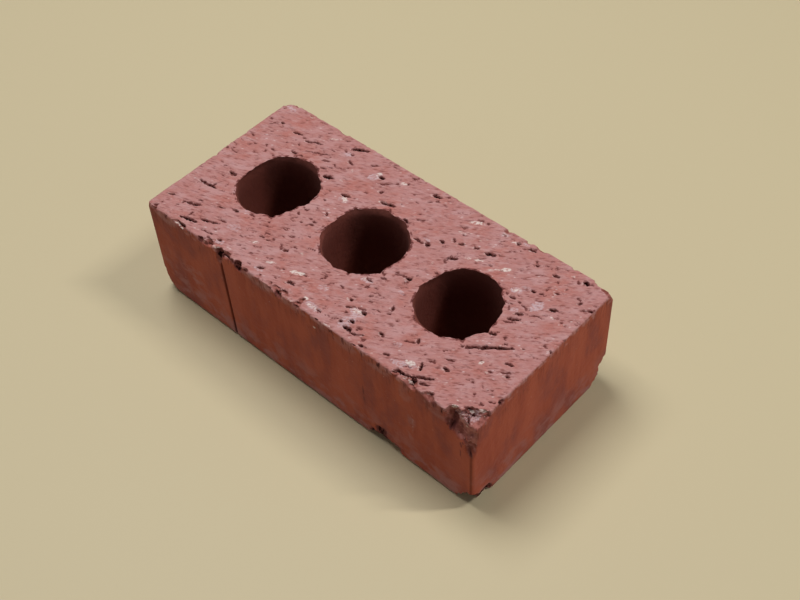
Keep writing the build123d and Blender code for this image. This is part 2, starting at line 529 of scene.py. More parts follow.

# %% Tears seen in the photo
# Middle x and y, length and width in mm, direction in degrees, and how deep from 1, faint, to 4, black.
# A y below the front edge is a mark on the front face, as the cell on folding out says
# How dark a mark is drawn is mostly painted shade, in the pits on the beds and the chips on the front face
BLACK = 4
TEARS = [
    (-45.5, 41.7, 8.5, 1.7, 27, 4), (-76.3, 31.2, 5.5, 1.3, 10, 3), (-66.3, 31.4, 8.5, 1.1, 24, 3),
    (-57.8, 28.2, 9.0, 1.0, 27, 2), (-52.7, 26.0, 4.5, 1.0, 29, 2), (-42.9, 32.4, 3.6, 1.3, -15, 3),
    (-50.2, 36.8, 2.6, 1.0, -35, 2), (-46.2, 36.9, 2.0, 1.5, 20, 2), (-44.0, 26.7, 8.0, 0.8, 22, 1),
    (-68.4, 20.6, 3.2, 1.2, -10, 3), (-64.0, 21.2, 1.6, 1.1, 0, 2), (-50.0, 21.6, 3.2, 1.0, 20, 2),
    (-44.3, 18.8, 5.0, 2.0, 15, 4), (-87.8, 32.0, 1.7, 1.4, 0, 3), (-94.5, 31.0, 2.2, 1.6, 0, 2),
    (-80.0, 40.6, 2.2, 0.9, 20, 1), (-54.8, 37.6, 2.6, 1.2, -35, 1), (-54.5, 42.5, 3.6, 1.1, 30, 2),
    (-87.5, 13.2, 2.6, 0.9, 15, 2), (-79.8, 13.0, 1.6, 1.3, 0, 2), (-75.0, 12.8, 1.3, 1.0, 0, 2),
    (-81.7, 15.7, 1.6, 1.0, 0, 2), (-78.2, 15.7, 1.6, 1.0, 20, 2), (-93.0, 16.8, 2.2, 1.3, -15, 2),
    (-94.0, 7.0, 3.2, 1.1, -30, 1), (-83.0, 8.5, 2.0, 0.9, 10, 1), (-96.0, 3.0, 2.2, 1.1, 10, 2),
    (-34.9, 7.0, 1.6, 1.0, -20, 2), (-70.9, 26.0, 2.6, 0.9, -35, 2), (-62.5, 29.3, 2.0, 1.0, -25, 1),
    (-72.0, 30.7, 2.3, 1.1, 10, 2), (-33.0, 38.5, 4.2, 1.2, 35, 2), (-94.0, 22.5, 3.2, 1.0, 20, 1),
    (-77.3, 18.8, 2.0, 0.9, 15, 1), (-80.2, -7.6, 4.6, 1.3, 8, 3), (-84.5, -6.0, 1.6, 1.4, 0, 1),
    (-84.0, -20.3, 10.5, 1.5, 4, 3), (-81.3, -18.6, 2.4, 1.1, 80, 3), (-76.5, -15.0, 3.0, 1.4, 85, 1),
    (-61.0, -23.8, 2.8, 1.2, 20, 3), (-67.5, -26.5, 4.6, 1.0, 20, 2), (-79.0, -33.0, 7.6, 1.6, 19, 3),
    (-83.4, -34.9, 1.6, 1.3, 20, 3), (-91.6, -35.5, 3.0, 1.4, 20, 3), (-75.3, -38.0, 2.5, 1.2, 90, 2),
    (-65.0, -36.0, 9.0, 1.1, 20, 3), (-60.5, -32.1, 4.2, 1.2, 15, 2), (-73.5, -41.1, 8.6, 1.3, 14, 4),
    (-61.5, -41.1, 7.6, 0.9, 12, 2), (-53.0, -41.0, 2.6, 1.3, 20, 3), (-58.5, -43.0, 1.6, 1.3, 20, 2),
    (-40.0, -27.3, 2.2, 1.1, 10, 3), (-39.2, -24.5, 3.6, 1.0, 10, 2), (-36.5, -27.1, 2.6, 1.1, 25, 2),
    (-34.8, -25.2, 1.6, 1.3, 0, 2), (-53.0, -21.1, 3.6, 1.0, 5, 2), (-78.2, -29.5, 2.2, 0.9, 10, 2),
    (-36.8, -2.8, 2.6, 1.1, 25, 2), (-38.0, -6.5, 2.6, 1.2, -45, 2), (-44.0, -19.0, 1.6, 1.1, 0, 2),
    (-86.5, -16.5, 1.6, 1.1, 20, 1), (-60.0, -37.8, 2.6, 1.2, 85, 1), (-66.4, -33.7, 1.2, 1.0, 0, 1),
    (-50.0, -25.3, 1.6, 1.0, 0, 1), (-33.0, -9.6, 1.6, 1.0, 0, 2), (-40.0, -10.2, 1.4, 0.9, 0, 2),
    (2.5, 41.2, 4.2, 1.9, 10, 4), (4.8, 38.8, 2.4, 1.0, 25, 2), (-25.0, 34.3, 2.7, 1.9, 10, 4),
    (-21.4, 32.1, 6.8, 1.0, 34, 2), (-18.8, 27.4, 2.2, 1.5, 75, 3), (-17.0, 36.0, 1.4, 1.3, 0, 2),
    (-15.3, 35.2, 1.6, 0.9, 20, 2), (-12.7, 39.1, 2.0, 1.1, -40, 2), (-12.6, 44.0, 3.2, 1.1, 30, 2),
    (-11.0, 23.5, 7.6, 1.7, 18, 3), (7.2, 25.7, 5.0, 1.0, 37, 2), (-24.0, 22.5, 2.4, 1.0, 10, 2),
    (-29.7, 22.7, 3.2, 1.0, 25, 1), (-29.4, 15.2, 5.2, 1.5, 15, 3), (13.3, 15.5, 2.7, 1.4, 10, 3),
    (16.0, 15.2, 3.5, 1.2, 15, 2), (18.9, 16.2, 3.2, 2.0, -30, 3), (22.9, 21.3, 3.2, 1.2, -10, 3),
    (26.4, 25.4, 2.7, 1.2, -40, 3), (30.0, 25.5, 3.2, 1.1, 25, 3), (27.2, 30.7, 2.0, 1.1, 0, 2),
    (33.2, 17.0, 4.8, 1.4, 37, 4), (31.2, 13.1, 2.0, 1.0, -35, 2), (33.0, 5.5, 2.0, 1.1, 20, 2),
    (21.0, 7.3, 1.6, 1.1, 0, 1), (23.5, 38.6, 4.8, 1.0, 34, 1), (27.3, 42.0, 3.2, 1.4, 10, 2),
    (31.2, 42.7, 1.7, 1.1, 0, 2), (7.0, 44.0, 2.2, 1.3, 20, 2), (3.6, 31.5, 1.4, 1.0, 0, 1),
    (-9.3, 30.0, 1.6, 0.9, 0, 1), (6.2, 21.5, 2.0, 0.9, -45, 1), (2.0, 20.7, 3.2, 1.1, -10, 3),
    (-7.5, 21.0, 2.6, 1.0, -45, 2), (-27.8, 1.0, 2.2, 1.1, -40, 2), (26.3, -4.3, 3.0, 1.5, 25, 4),
    (22.3, -4.7, 6.5, 1.2, 18, 2), (18.0, -11.0, 3.0, 1.1, 25, 2), (16.0, -9.0, 2.2, 1.1, -35, 2),
    (14.0, -15.7, 3.2, 1.3, 5, 3), (15.8, -18.6, 2.0, 1.1, 0, 2), (19.3, -17.3, 2.4, 0.9, 10, 2),
    (20.5, -21.6, 1.7, 1.3, 30, 3), (22.3, -24.2, 2.0, 1.2, 10, 2), (26.3, -26.7, 1.6, 1.1, 40, 1),
    (22.4, -29.3, 4.7, 1.0, 18, 2), (18.1, -31.7, 4.5, 1.1, 32, 3), (25.0, -30.7, 2.7, 1.4, -5, 4),
    (18.8, -35.0, 1.8, 1.1, 10, 2), (24.0, -37.0, 2.6, 1.4, 0, 4), (29.5, -37.7, 2.6, 1.2, 10, 2),
    (28.8, -39.0, 1.6, 1.1, 10, 2), (20.5, -39.8, 2.2, 1.1, 0, 3), (25.5, -41.0, 4.2, 1.9, 5, 4),
    (30.4, -40.7, 6.2, 1.1, 27, 3), (15.5, -28.8, 2.2, 1.2, -15, 3), (9.4, -41.8, 2.0, 1.3, 0, 3),
    (7.4, -25.7, 2.7, 1.1, -5, 2), (2.8, -27.5, 1.6, 1.1, 0, 1), (-1.7, -26.2, 2.2, 1.4, -55, 2),
    (-3.2, -24.2, 4.2, 1.0, 35, 1), (-10.6, -38.5, 2.8, 1.4, 5, 4), (-9.3, -31.2, 1.7, 1.0, 20, 2),
    (-26.0, -26.5, 2.2, 1.3, 15, 3), (-29.0, -26.4, 4.0, 1.3, -48, 2), (-29.7, -18.8, 2.0, 1.3, 0, 2),
    (-17.0, -18.7, 2.4, 1.0, 5, 2), (-28.5, -6.0, 2.2, 1.2, 15, 2), (-28.0, -8.3, 1.7, 1.3, 0, 2),
    (-31.0, -5.5, 1.7, 1.1, 0, 2), (-26.8, -40.7, 4.0, 1.2, 32, 3), (30.5, -12.3, 2.6, 1.6, 10, 1),
    (32.5, -21.2, 2.4, 1.3, -50, 3), (33.0, -24.2, 2.2, 0.9, 25, 2), (-23.5, -10.1, 2.2, 0.8, 10, 1),
    (-14.0, -35.5, 1.7, 0.9, 0, 1), (7.0, -33.3, 1.7, 0.9, 0, 1), (2.0, -39.0, 2.2, 0.9, 15, 1),
    (10.0, -38.0, 1.7, 0.9, 60, 1), (43.6, 29.0, 4.5, 1.8, 22, 4), (37.0, 28.0, 2.7, 1.1, 30, 3),
    (56.4, 42.7, 3.4, 1.4, 5, 4), (49.3, 41.8, 1.8, 1.4, 0, 4), (41.0, 42.0, 3.2, 1.3, 10, 1),
    (63.2, 37.0, 1.7, 1.5, 0, 3), (61.8, 38.5, 1.7, 1.1, -40, 2), (70.3, 41.2, 1.7, 1.1, -30, 2),
    (73.0, 37.0, 2.7, 1.3, 15, 3), (75.5, 35.0, 2.0, 1.0, -35, 2), (85.4, 42.0, 2.8, 2.0, -10, 4),
    (82.2, 40.3, 2.4, 1.1, -30, 2), (81.0, 34.0, 1.6, 1.1, 0, 2), (79.2, 29.7, 1.8, 1.4, 10, 3),
    (88.1, 33.0, 2.5, 1.0, 10, 2), (89.8, 31.6, 2.2, 1.1, 80, 3), (95.7, 34.5, 1.7, 1.3, 0, 2),
    (93.8, 29.3, 6.0, 1.0, 35, 2), (95.6, 30.7, 2.2, 1.3, 10, 3), (83.7, 21.3, 3.2, 1.5, 28, 4),
    (70.7, 24.2, 1.9, 1.5, 0, 3), (74.3, 25.2, 1.8, 1.2, 20, 2), (67.5, 23.0, 3.2, 1.5, 30, 1),
    (79.6, 13.5, 4.8, 1.0, 40, 2), (74.2, 10.4, 3.6, 1.4, 35, 3), (74.0, 7.0, 5.4, 1.2, 27, 3),
    (73.7, 4.6, 5.4, 0.9, 30, 2), (66.3, 16.0, 3.2, 1.3, 10, 3), (63.0, 16.5, 2.0, 1.3, -20, 2),
    (68.5, 10.5, 2.7, 1.1, -50, 2), (73.0, 15.0, 2.7, 1.1, 0, 2), (70.5, 15.5, 1.2, 1.0, 0, 2),
    (92.8, 4.0, 1.8, 1.3, 0, 2), (96.2, 3.0, 1.4, 1.2, 0, 3), (91.5, 6.4, 2.2, 0.9, 20, 1),
    (47.8, 24.0, 1.7, 1.1, 20, 2), (35.0, 21.0, 2.7, 0.9, 30, 1), (42.6, 21.3, 3.8, 1.0, 30, 1),
    (86.7, 22.1, 3.2, 0.9, 20, 1), (87.5, 19.3, 1.7, 1.1, -40, 2), (90.3, 18.0, 1.2, 1.0, 0, 2),
    (72.0, 31.5, 3.2, 0.9, 35, 1), (75.5, 21.0, 3.4, 1.0, 32, 1), (60.5, 33.5, 2.0, 0.9, 80, 1),
    (78.2, -9.7, 15.0, 1.2, 37, 4), (71.2, -14.6, 6.5, 1.5, 37, 3), (74.6, -12.2, 3.4, 2.0, 35, 4),
    (68.5, -17.3, 3.6, 1.3, 15, 2), (72.2, -4.6, 4.8, 1.2, 15, 3), (77.5, -3.0, 2.2, 1.0, 25, 2),
    (80.0, -5.7, 2.4, 1.0, 25, 2), (87.0, -2.8, 1.5, 1.1, 30, 2), (87.5, -12.8, 3.4, 1.3, 12, 3),
    (87.2, -7.2, 2.2, 1.3, 10, 1), (89.5, -16.6, 4.2, 1.1, 38, 2), (91.0, -17.8, 2.0, 1.5, 10, 3),
    (84.3, -20.6, 2.7, 1.1, 25, 2), (52.1, -27.1, 3.2, 1.2, -57, 3), (49.5, -29.8, 5.2, 1.2, 22, 2),
    (68.5, -26.2, 3.7, 1.1, 15, 2), (62.8, -31.7, 3.2, 1.1, 25, 2), (64.2, -31.2, 1.8, 1.0, -35, 2),
    (70.4, -31.0, 3.4, 1.3, -5, 3), (61.8, -36.3, 3.4, 1.3, -55, 4), (38.3, -34.0, 2.7, 1.4, -25, 3),
    (46.8, -40.7, 3.0, 1.2, 15, 3), (34.8, -41.5, 1.7, 1.1, 0, 2), (36.0, -44.0, 1.7, 1.1, 0, 3),
    (58.5, -43.4, 8.0, 1.3, 10, 4), (66.2, -40.0, 8.5, 1.3, 30, 4), (63.7, -43.6, 2.4, 2.0, 60, 4),
    (68.6, -42.0, 4.2, 1.4, 25, 3), (73.5, -44.0, 2.7, 1.2, 10, 3), (86.5, -32.8, 1.7, 1.1, -30, 2),
    (82.2, -28.7, 1.4, 1.0, 0, 2), (86.3, -27.5, 2.2, 1.0, -45, 1), (78.3, -27.5, 3.2, 1.2, 30, 1),
    (94.3, -31.5, 3.2, 1.1, 32, 2), (91.7, -28.8, 3.2, 1.0, 32, 1), (71.8, -18.1, 1.5, 1.1, 0, 2),
    (91.7, -35.0, 1.7, 1.1, 0, 2), (38.0, -28.3, 1.7, 1.1, 0, 1), (44.0, -28.0, 1.7, 1.0, 0, 1),
    (-48.5, -48.5, 6.0, 3.0, 85, 4), (-44.0, -46.0, 5.0, 1.6, 0, 3), (-36.5, -48.0, 5.0, 3.2, 80, 4),
    (-60.5, -47.5, 3.0, 2.0, 70, 3), (-74.5, -45.4, 5.0, 1.2, -8, 3), (-31.5, -46.8, 2.2, 1.6, 0, 3),
    (85.8, -51.5, 12.0, 3.6, 86, 2.2), (95.6, -64.6, 3.0, 2.4, 60, 3), (93.0, -41.5, 5.0, 1.2, 15, 3),
    (90.0, -70.0, 6.0, 1.2, 86, 1.4), (73.5, -53.0, 9.0, 2.6, 88, 0.7), (60.0, -52.0, 8.0, 3.0, 88, 0.6),
    (89.0, -39.8, 4.0, 1.0, 20, 3), (94.4, -46.0, 4.0, 1.2, -50, 3), (90.5, -53.0, 6.0, 1.0, 80, 2),
    (88.0, -50.0, 5.0, 0.9, 85, 2), (91.0, -62.0, 4.0, 1.2, 60, 2), (36.6, -77.0, 12.0, 1.4, 90, 1.5),
    (-13.0, -48.0, 4.0, 1.6, 80, 2.5), (38.0, -50.0, 6.0, 1.4, 85, 1.6), (20.0, -48.0, 3.0, 1.2, 80, 2.5),
    (27.0, -48.2, 3.5, 1.2, 85, 2.5), (-4.0, -47.5, 2.5, 1.2, 70, 2), (5.0, -47.8, 2.5, 1.4, 80, 2),
    (47.0, -47.8, 3.5, 1.6, 80, 2.5), (52.0, -47.5, 3.0, 1.2, 80, 2), (77.0, -48.0, 4.0, 2.0, 75, 2.5),
    (81.0, -48.5, 4.0, 1.6, 85, 2.5), (-68.0, -47.6, 3.0, 1.4, 70, 2), (-84.0, -48.0, 4.0, 1.4, 60, 1.6),
]
print(len(TEARS), "tears placed by eye")

# %% Scattered tears
SMALL_TEARS, SMALL_LENGTH, SMALL_WIDTH, SMALL_SHADE, SMALL_TURN = 900, (0.9, 4.0), (0.4, 0.9), (0.3, 1.8), 14
UNDER_TEARS, UNDER_LENGTH, UNDER_WIDTH, UNDER_SHADE, UNDER_TURN = 420, (1.5, 9.0), (0.8, 1.7), (0.5, 4.0), 12
UNDER_SHORTENED = (0.3, 1.0)
scatter = np.random.default_rng(seed=7)


def scattered_tears(count, length, width, shade, turn_spread, shortened=None):
    """Tears spread evenly over a bed, each along the wire's path give or take a normal spread of degrees."""
    x = scatter.uniform(-half_length, half_length, count)
    y = scatter.uniform(-half_width, half_width, count)
    lengths = scatter.uniform(*length, count)
    if shortened:
        lengths *= scatter.uniform(*shortened, count)
    widths = scatter.uniform(*width, count)
    shades = scatter.uniform(*shade, count)
    turns = np.degrees(drag_angle(x)) + scatter.normal(0, turn_spread, count)
    return np.column_stack([x, y, lengths, widths, turns, shades])


small = scattered_tears(SMALL_TEARS, SMALL_LENGTH, SMALL_WIDTH, SMALL_SHADE, SMALL_TURN)
under = scattered_tears(UNDER_TEARS, UNDER_LENGTH, UNDER_WIDTH, UNDER_SHADE, UNDER_TURN, UNDER_SHORTENED)
print(len(small), "small tears on the upper bed and", len(under), "tears on the lower bed")

# %% [markdown]
# ## Pale and violet marks
# Scraped clay is paler than the rest, and ash in the kiln left violet-grey patches. Noise could scatter
# such patches, but the eye knows this brick by where they are, so they are listed the same way as the
# tears. The long pale mark down the right end, beside the near upright edge, is a painted highlight.

# %% Marks of colour
PALE_MARKS = [
    (-60.0, 39.5, 9.0, 1.5, 35, 2), (-38.5, 29.0, 3.0, 1.0, -40, 2), (-38.2, 21.0, 2.0, 1.5, 0, 2),
    (-73.5, 37.0, 1.5, 1.0, 0, 2), (-80.0, 44.0, 4.0, 1.5, 0, 2), (-40.0, -32.0, 5.0, 1.3, 28, 3),
    (-45.5, -41.8, 4.0, 1.2, 10, 2), (-14.3, 37.8, 3.4, 2.0, 20, 3), (-13.6, 22.8, 5.0, 1.7, 24, 3),
    (27.3, 39.8, 7.0, 2.2, 25, 3), (26.0, 31.2, 3.4, 1.7, 20, 2), (2.0, 22.0, 2.0, 1.0, 0, 2),
    (28.0, 8.5, 1.5, 1.0, 0, 2), (-12.3, -32.6, 7.0, 2.4, 25, 4), (-25.5, -35.6, 5.0, 1.4, 30, 3),
    (-19.0, -23.6, 2.4, 1.4, 20, 2), (-31.0, -38.0, 4.0, 1.0, 30, 2), (0.6, -40.4, 2.0, 1.8, 0, 4),
    (1.0, -29.5, 2.0, 1.0, 0, 2), (3.5, -31.0, 2.0, 1.0, 0, 2), (14.4, -29.2, 2.4, 1.0, 0, 2),
    (30.0, -44.3, 2.0, 1.0, 0, 2), (54.2, 25.9, 4.4, 2.4, 42, 4), (50.5, 22.5, 6.0, 1.5, 35, 2),
    (42.4, 23.0, 5.0, 1.6, 38, 3), (37.6, 20.5, 4.0, 1.4, 35, 2), (47.7, 41.2, 4.0, 1.5, 32, 3),
    (41.0, 42.2, 3.0, 2.0, 10, 2), (86.2, 17.5, 2.6, 1.4, 0, 3), (80.7, 32.8, 1.0, 0.8, 0, 2),
    (78.5, 41.5, 2.0, 1.5, 0, 2), (35.5, 32.5, 2.0, 1.0, 0, 2), (78.7, -19.2, 3.2, 1.5, 72, 4),
    (57.0, -37.8, 4.4, 2.6, 10, 4), (65.2, 20.3, 3.4, 2.4, 30, 3), (-28.4, 13.0, 4.4, 2.8, -40, 3),
    (-27.4, 35.2, 3.0, 2.4, 60, 3), (22.0, -31.6, 4.2, 2.6, 10, 3), (13.2, -16.4, 4.6, 1.5, 10, 3),
    (6.0, -42.2, 5.6, 1.7, 5, 3), (87.8, -19.0, 1.5, 1.0, 0, 2), (85.8, -3.3, 1.4, 1.2, 0, 2),
    (83.2, -22.0, 1.5, 1.0, 0, 2), (83.5, -39.5, 1.5, 1.0, 0, 3), (69.5, -37.5, 2.0, 1.0, 0, 2),
    (-75.0, -47.6, 9.0, 1.6, -10, 4), (10.5, -53.0, 1.8, 1.2, 60, 3), (65.0, -73.0, 18.0, 1.4, 90, 1.1),
    (42.0, -72.0, 2.0, 1.6, 0, 1), (84.4, -42.6, 2.6, 1.6, 40, 4), (94.8, -37.2, 3.4, 1.8, 10, 4),
    (91.5, -40.2, 4.0, 2.0, 15, 4), (93.5, -50.0, 2.4, 1.4, 60, 3), (89.5, -44.5, 3.6, 1.0, 30, 3),
    (-50.8, -45.0, 3.4, 1.8, 10, 4), (-5.0, -45.6, 6.0, 1.0, 0, 2), (17.0, -45.4, 5.0, 1.2, 0, 3),
    # The last pale mark, on the right end beside the near upright edge, is a painted highlight
    (62.0, -45.5, 5.0, 1.2, 0, 3), (128.0, -44.4, 42.0, 3.0, 0, 0.6),
]
VIOLET_MARKS = [
    (-47.6, 35.8, 5.0, 3.0, 20, 3), (-92.0, 42.0, 6.0, 3.0, 0, 3), (-52.0, -41.8, 5.0, 3.0, 10, 3),
    (-56.0, -21.5, 4.0, 2.0, 0, 2), (-54.0, -31.5, 7.0, 5.0, 20, 2), (-28.0, 33.0, 7.0, 5.0, 70, 3),
    (-28.6, 12.6, 6.0, 4.5, 0, 2), (17.0, 18.0, 4.0, 2.0, 0, 3), (6.0, -42.0, 8.0, 3.6, 0, 3),
    (22.0, -32.0, 7.0, 5.0, 0, 3), (22.4, -38.5, 9.0, 6.0, 80, 3), (13.4, -16.6, 6.0, 3.0, 10, 3),
    (2.0, -31.5, 6.0, 4.0, 20, 2), (29.0, -12.2, 3.6, 2.6, 0, 3), (-27.0, -42.0, 5.0, 2.0, 0, 3),
    (65.2, 20.0, 5.0, 4.0, 20, 3), (67.4, 23.2, 5.0, 3.0, 30, 2), (77.3, 18.4, 7.0, 5.0, 80, 4),
    (71.2, 10.8, 4.0, 3.0, 30, 3), (52.0, 43.5, 3.0, 2.0, 0, 3), (53.6, -41.0, 7.0, 3.0, 10, 3),
    (57.5, -38.6, 6.0, 4.0, 10, 3), (93.0, -38.5, 2.0, 1.5, 0, 4), (47.0, -34.2, 4.0, 3.0, 20, 2),
    (41.0, 42.0, 5.0, 3.0, 20, 2), (10.0, 33.0, 12.0, 6.0, 30, 1), (-72.0, 2.0, 10.0, 6.0, 20, 1),
    (91.0, -45.5, 12.0, 8.0, 0, 1.8), (95.0, -42.0, 6.0, 7.0, 0, 3),
]
print(len(PALE_MARKS), "pale marks and", len(VIOLET_MARKS), "violet ones")

# %% [markdown]
# ## Fold the sides out flat
# Marks run over the edges, so one flat map serves the bed and the sides. As with a cardboard box, the sides
# are folded out round the upper bed: a mark on the front face has a y below the bed's edge by as much as
# the mark is below the bed. The lower bed lies on the same map, far off to one side. A UV map would hold
# the same numbers, but here only numpy needs them. The map is frayed by noise, so that no mark has a drawn
# outline.

# %% Where the marks fall
UNDER_FOLD = 400.0
FRAY, FRAY_SIZE, FRAY_SEEDS = 0.35, 1.2, (51, 61)

drop = height - skin[:, 2]
on_end = np.abs(skin[:, 0]) > half_length - ON_FACE
fold = skin[:, :2].copy()
fold[:, 0] += np.where(on_end, np.sign(skin[:, 0]) * drop, 0)
fold[:, 1] += np.where(on_end, 0, np.sign(skin[:, 1]) * drop)
fold[zone == UNDER] = skin[zone == UNDER, :2] + (UNDER_FOLD, 0)
under[:, 0] += UNDER_FOLD
shown = used[zone[used] != CORE]
flat = np.column_stack([fold[shown], np.zeros(len(shown))])
fray = np.column_stack([rough(flat, FRAY_SIZE, seed=seed, octaves=2) for seed in FRAY_SEEDS])
frayed = fold[shown] + FRAY * fray
print("the map of marks is", np.ptp(fold[shown], axis=0).round(), "mm across")

# %% Depth of each mark
HALF_LENGTH_SHARE, HALF_WIDTH_SHARE = 0.57, 0.5
SLOT_EDGE, SLOT_BLUNTNESS, SLOT_STEEPNESS = 1.15, 3, 2.2
LIT_WALL_SHIFT, LIT_WALL_FROM = 0.75, 3


def mark_depth(marks, shift=0.0):
    """The deepest mark at each shown point: a slot |v| + |u|^3 < 1.15 in half sizes, with steep walls."""
    xy = frayed + shift
    deepest = np.zeros(len(xy))
    for x, y, length, width, turn, depth in marks:
        near = np.flatnonzero(np.max(np.abs(xy - (x, y)), axis=1) < length)
        off = xy[near] - (x, y)
        c = math.cos(math.radians(turn))
        s = math.sin(math.radians(turn))
        u = (off[:, 0] * c + off[:, 1] * s) / (HALF_LENGTH_SHARE * length)
        v = (off[:, 1] * c - off[:, 0] * s) / (HALF_WIDTH_SHARE * width)
        within = SLOT_EDGE - np.abs(v) - np.abs(u) ** SLOT_BLUNTNESS
        deepest[near] = np.maximum(deepest[near], depth * np.clip(SLOT_STEEPNESS * within, 0, 1))
    return deepest


deep_bed_tears = [mark for mark in TEARS if mark[5] >= LIT_WALL_FROM and mark[1] > -half_width]
tear_and_shade, painted_lit_wall, pale, violet = np.zeros((4, len(skin)))
tear_and_shade[shown] = mark_depth(TEARS + small.tolist() + under.tolist())
# Painted highlight: each deep bed tear moved towards -x and -y, where its far wall faces the light
painted_lit_wall[shown] = mark_depth(deep_bed_tears, shift=LIT_WALL_SHIFT)
pale[shown] = mark_depth(PALE_MARKS)
violet[shown] = mark_depth(VIOLET_MARKS)
print("marks cover", [f"{(m[shown] > 0).mean():.0%}" for m in (tear_and_shade, painted_lit_wall, pale, violet)], "of the outside")

# %% [markdown]
# ## Cut the tears into the beds
# A tear is a hole with a floor, and the light shows it, so the beds are lowered by the depth of each mark.
# The wire also left low ridges along its path, and the bed swells a little from place to place. All of this
# only takes clay away, so nothing stands higher than the plain solid.

# %% Tear the beds
TEAR_DEPTH = 0.42
RIDGE_LENGTH, RIDGE_WIDTH, RIDGE_DEPTH = 9.0, 1.3, 0.14
SWELL_SIZE, SWELL_DEPTH = 30.0, 0.12

level = np.zeros(len(skin))
ridges = rough(np.column_stack([along / RIDGE_LENGTH, across / RIDGE_WIDTH, level]), 1.0, seed=71)
swell = rough(np.column_stack([skin[:, :2], level]), SWELL_SIZE, seed=81)
lost = TEAR_DEPTH * tear_and_shade + RIDGE_DEPTH * np.clip(1 + ridges, 0, 2) + SWELL_DEPTH * np.clip(1 + swell, 0, 2)
worn[zone == BED, 2] -= lost[zone == BED]
worn[zone == UNDER, 2] += lost[zone == UNDER]
print("deepest tear", round(TEAR_DEPTH * tear_and_shade.max(), 2), "mm")

# %% [markdown]
# ## Torn rims and painted shade in the hollows
# Beside the cores the wire tore small dark bits out of the rim, and painted shade darkens the deepest chips
# and notches. Both look as dark as the tears do, so they go into the same mask and need no colour of their
# own. Noise breaks up the torn rims, and the painted shade stays on broken clay.

# %% Torn rims
TORN_RIM, TORN_RIM_FULL, TORN_RIM_SHADE = 1.5, 0.2, 2.4
TORN_LUMP, TORN_FROM, TORN_FULL = 2.4, -0.1, 0.5

tear_before = tear_and_shade
torn = soft_step(TORN_FROM, TORN_FULL, rough(skin, TORN_LUMP, seed=95))
for core, (centre_x, centre_y, _) in enumerate(cores):
    off_x = skin[:, 0] - centre_x
    off_y = skin[:, 1] - centre_y
    off_rim = np.hypot(off_x, off_y) - rim_radius(core, np.arctan2(off_y, off_x))
    near = soft_step(TORN_RIM, TORN_RIM_FULL, off_rim) * (zone == BED)
    tear_and_shade = np.maximum(tear_and_shade, TORN_RIM_SHADE * near * torn)
print(int((tear_and_shade > tear_before)[used].sum()), "points torn beside the rims")

# %% Painted shade in the hollows
# Each hollow's middle and reach
SHADED_HOLLOWS = [
    ((96.0, -39.0, 4.0), 8.0), ((97.0, -28.7, 56.5), 2.6), ((-48.5, -45.5, 54.0), 3.6),
    ((-36.5, -45.5, 55.0), 3.2), ((43.0, -44.0, 4.0), 8.0), ((-61.0, -45.5, 56.0), 2.2),
]
HOLLOW_SHADE, HOLLOW_SHADE_CORE_SHARE, HOLLOW_SHADE_FROM, HOLLOW_SHADE_FULL = 2.8, 0.6, 0.1, 0.5

for middle, reach in SHADED_HOLLOWS:
    near = soft_step(reach, HOLLOW_SHADE_CORE_SHARE * reach, np.linalg.norm(worn - middle, axis=1))
    tear_and_shade = np.maximum(tear_and_shade, HOLLOW_SHADE * near * soft_step(HOLLOW_SHADE_FROM, HOLLOW_SHADE_FULL, broken))
# Points darkened deeply by tears or by painted shade in the hollows
print(int((tear_and_shade > HOLLOW_SHADE / 2)[used].sum()), "points deeply torn or dirty")

# %% [markdown]
# ## Painted shade beside the near upright edge
# Beside the near upright edge a dark line of painted shade runs down the front face, where the rounded
# edge turns away from the light. It is drawn by colour alone, in the same mask as the crack.

# %% Painted shade line
ARRIS_SHADE_X, ARRIS_SHADE_WIDTH, ARRIS_SHADE_TOP, ARRIS_SHADE_STRENGTH = 95.9, 1.0, (42.0, 36.0), 0.5

arris_shade = np.clip(1 - np.abs(skin[:, 0] - ARRIS_SHADE_X) / ARRIS_SHADE_WIDTH, 0, 1)
arris_shade *= ARRIS_SHADE_STRENGTH * soft_step(*ARRIS_SHADE_TOP, skin[:, 2])
print("die line", ARRIS_SHADE_TOP[0], "mm tall")

# %% [markdown]
# ## Bed clay dragged over the edges
# The wire smeared bed clay over the upper edges, so the pale bed doesn't end at the arris. A mask that
# stops at a noisy depth below the edge gives that ragged border. The sides keep part of their own colour
# under it.

# %% Spilt clay
SPILL, SPILL_SPREAD, SPILL_LUMP, SPILL_SOFTNESS, SPILL_SHARE = 1.6, 3.4, 2.4, 0.8, 0.7

spill = SPILL + SPILL_SPREAD * rough(skin, SPILL_LUMP, seed=91)
spilt = np.where(zone == SIDE, soft_step(spill + SPILL_SOFTNESS, spill - SPILL_SOFTNESS, drop), 0)
print("bed clay over", f"{spilt[zone == SIDE].mean():.0%}", "of the sides")

# %% [markdown]
# ## Painted shade in the cores
# The core walls are darkest towards the back and a little darker under the rims. Shade alone leaves them
# too bright in the render, so a mask paints shade there. It follows how far back a wall lies, as a share of
# the core's radius.

# %% Painted shade on the walls
SHADE_BACK_SHARES, SHADE_UNDER_RIM_DEPTHS, SHADE_UNDER_RIM_SHARE = (0.1, 0.6), (22.0, 3.0), 0.35

core_radius = cores[0][2]
on_back_wall = soft_step(*SHADE_BACK_SHARES, skin[:, 1] / core_radius)
under_rim = SHADE_UNDER_RIM_SHARE * soft_step(*SHADE_UNDER_RIM_DEPTHS, drop)
soot = np.where(zone == CORE, np.maximum(on_back_wall, under_rim), 0)
print("soot on", f"{soot[zone == CORE].mean():.0%}", "of the core walls")

# %% [markdown]
# ## Ash that bloomed on the sides
# A grey-violet bloom creeps up from the foot, highest at the left end, with a few patches higher up. It is
# a slope from the foot plus marks listed one by one, and a noise in the material breaks it up.

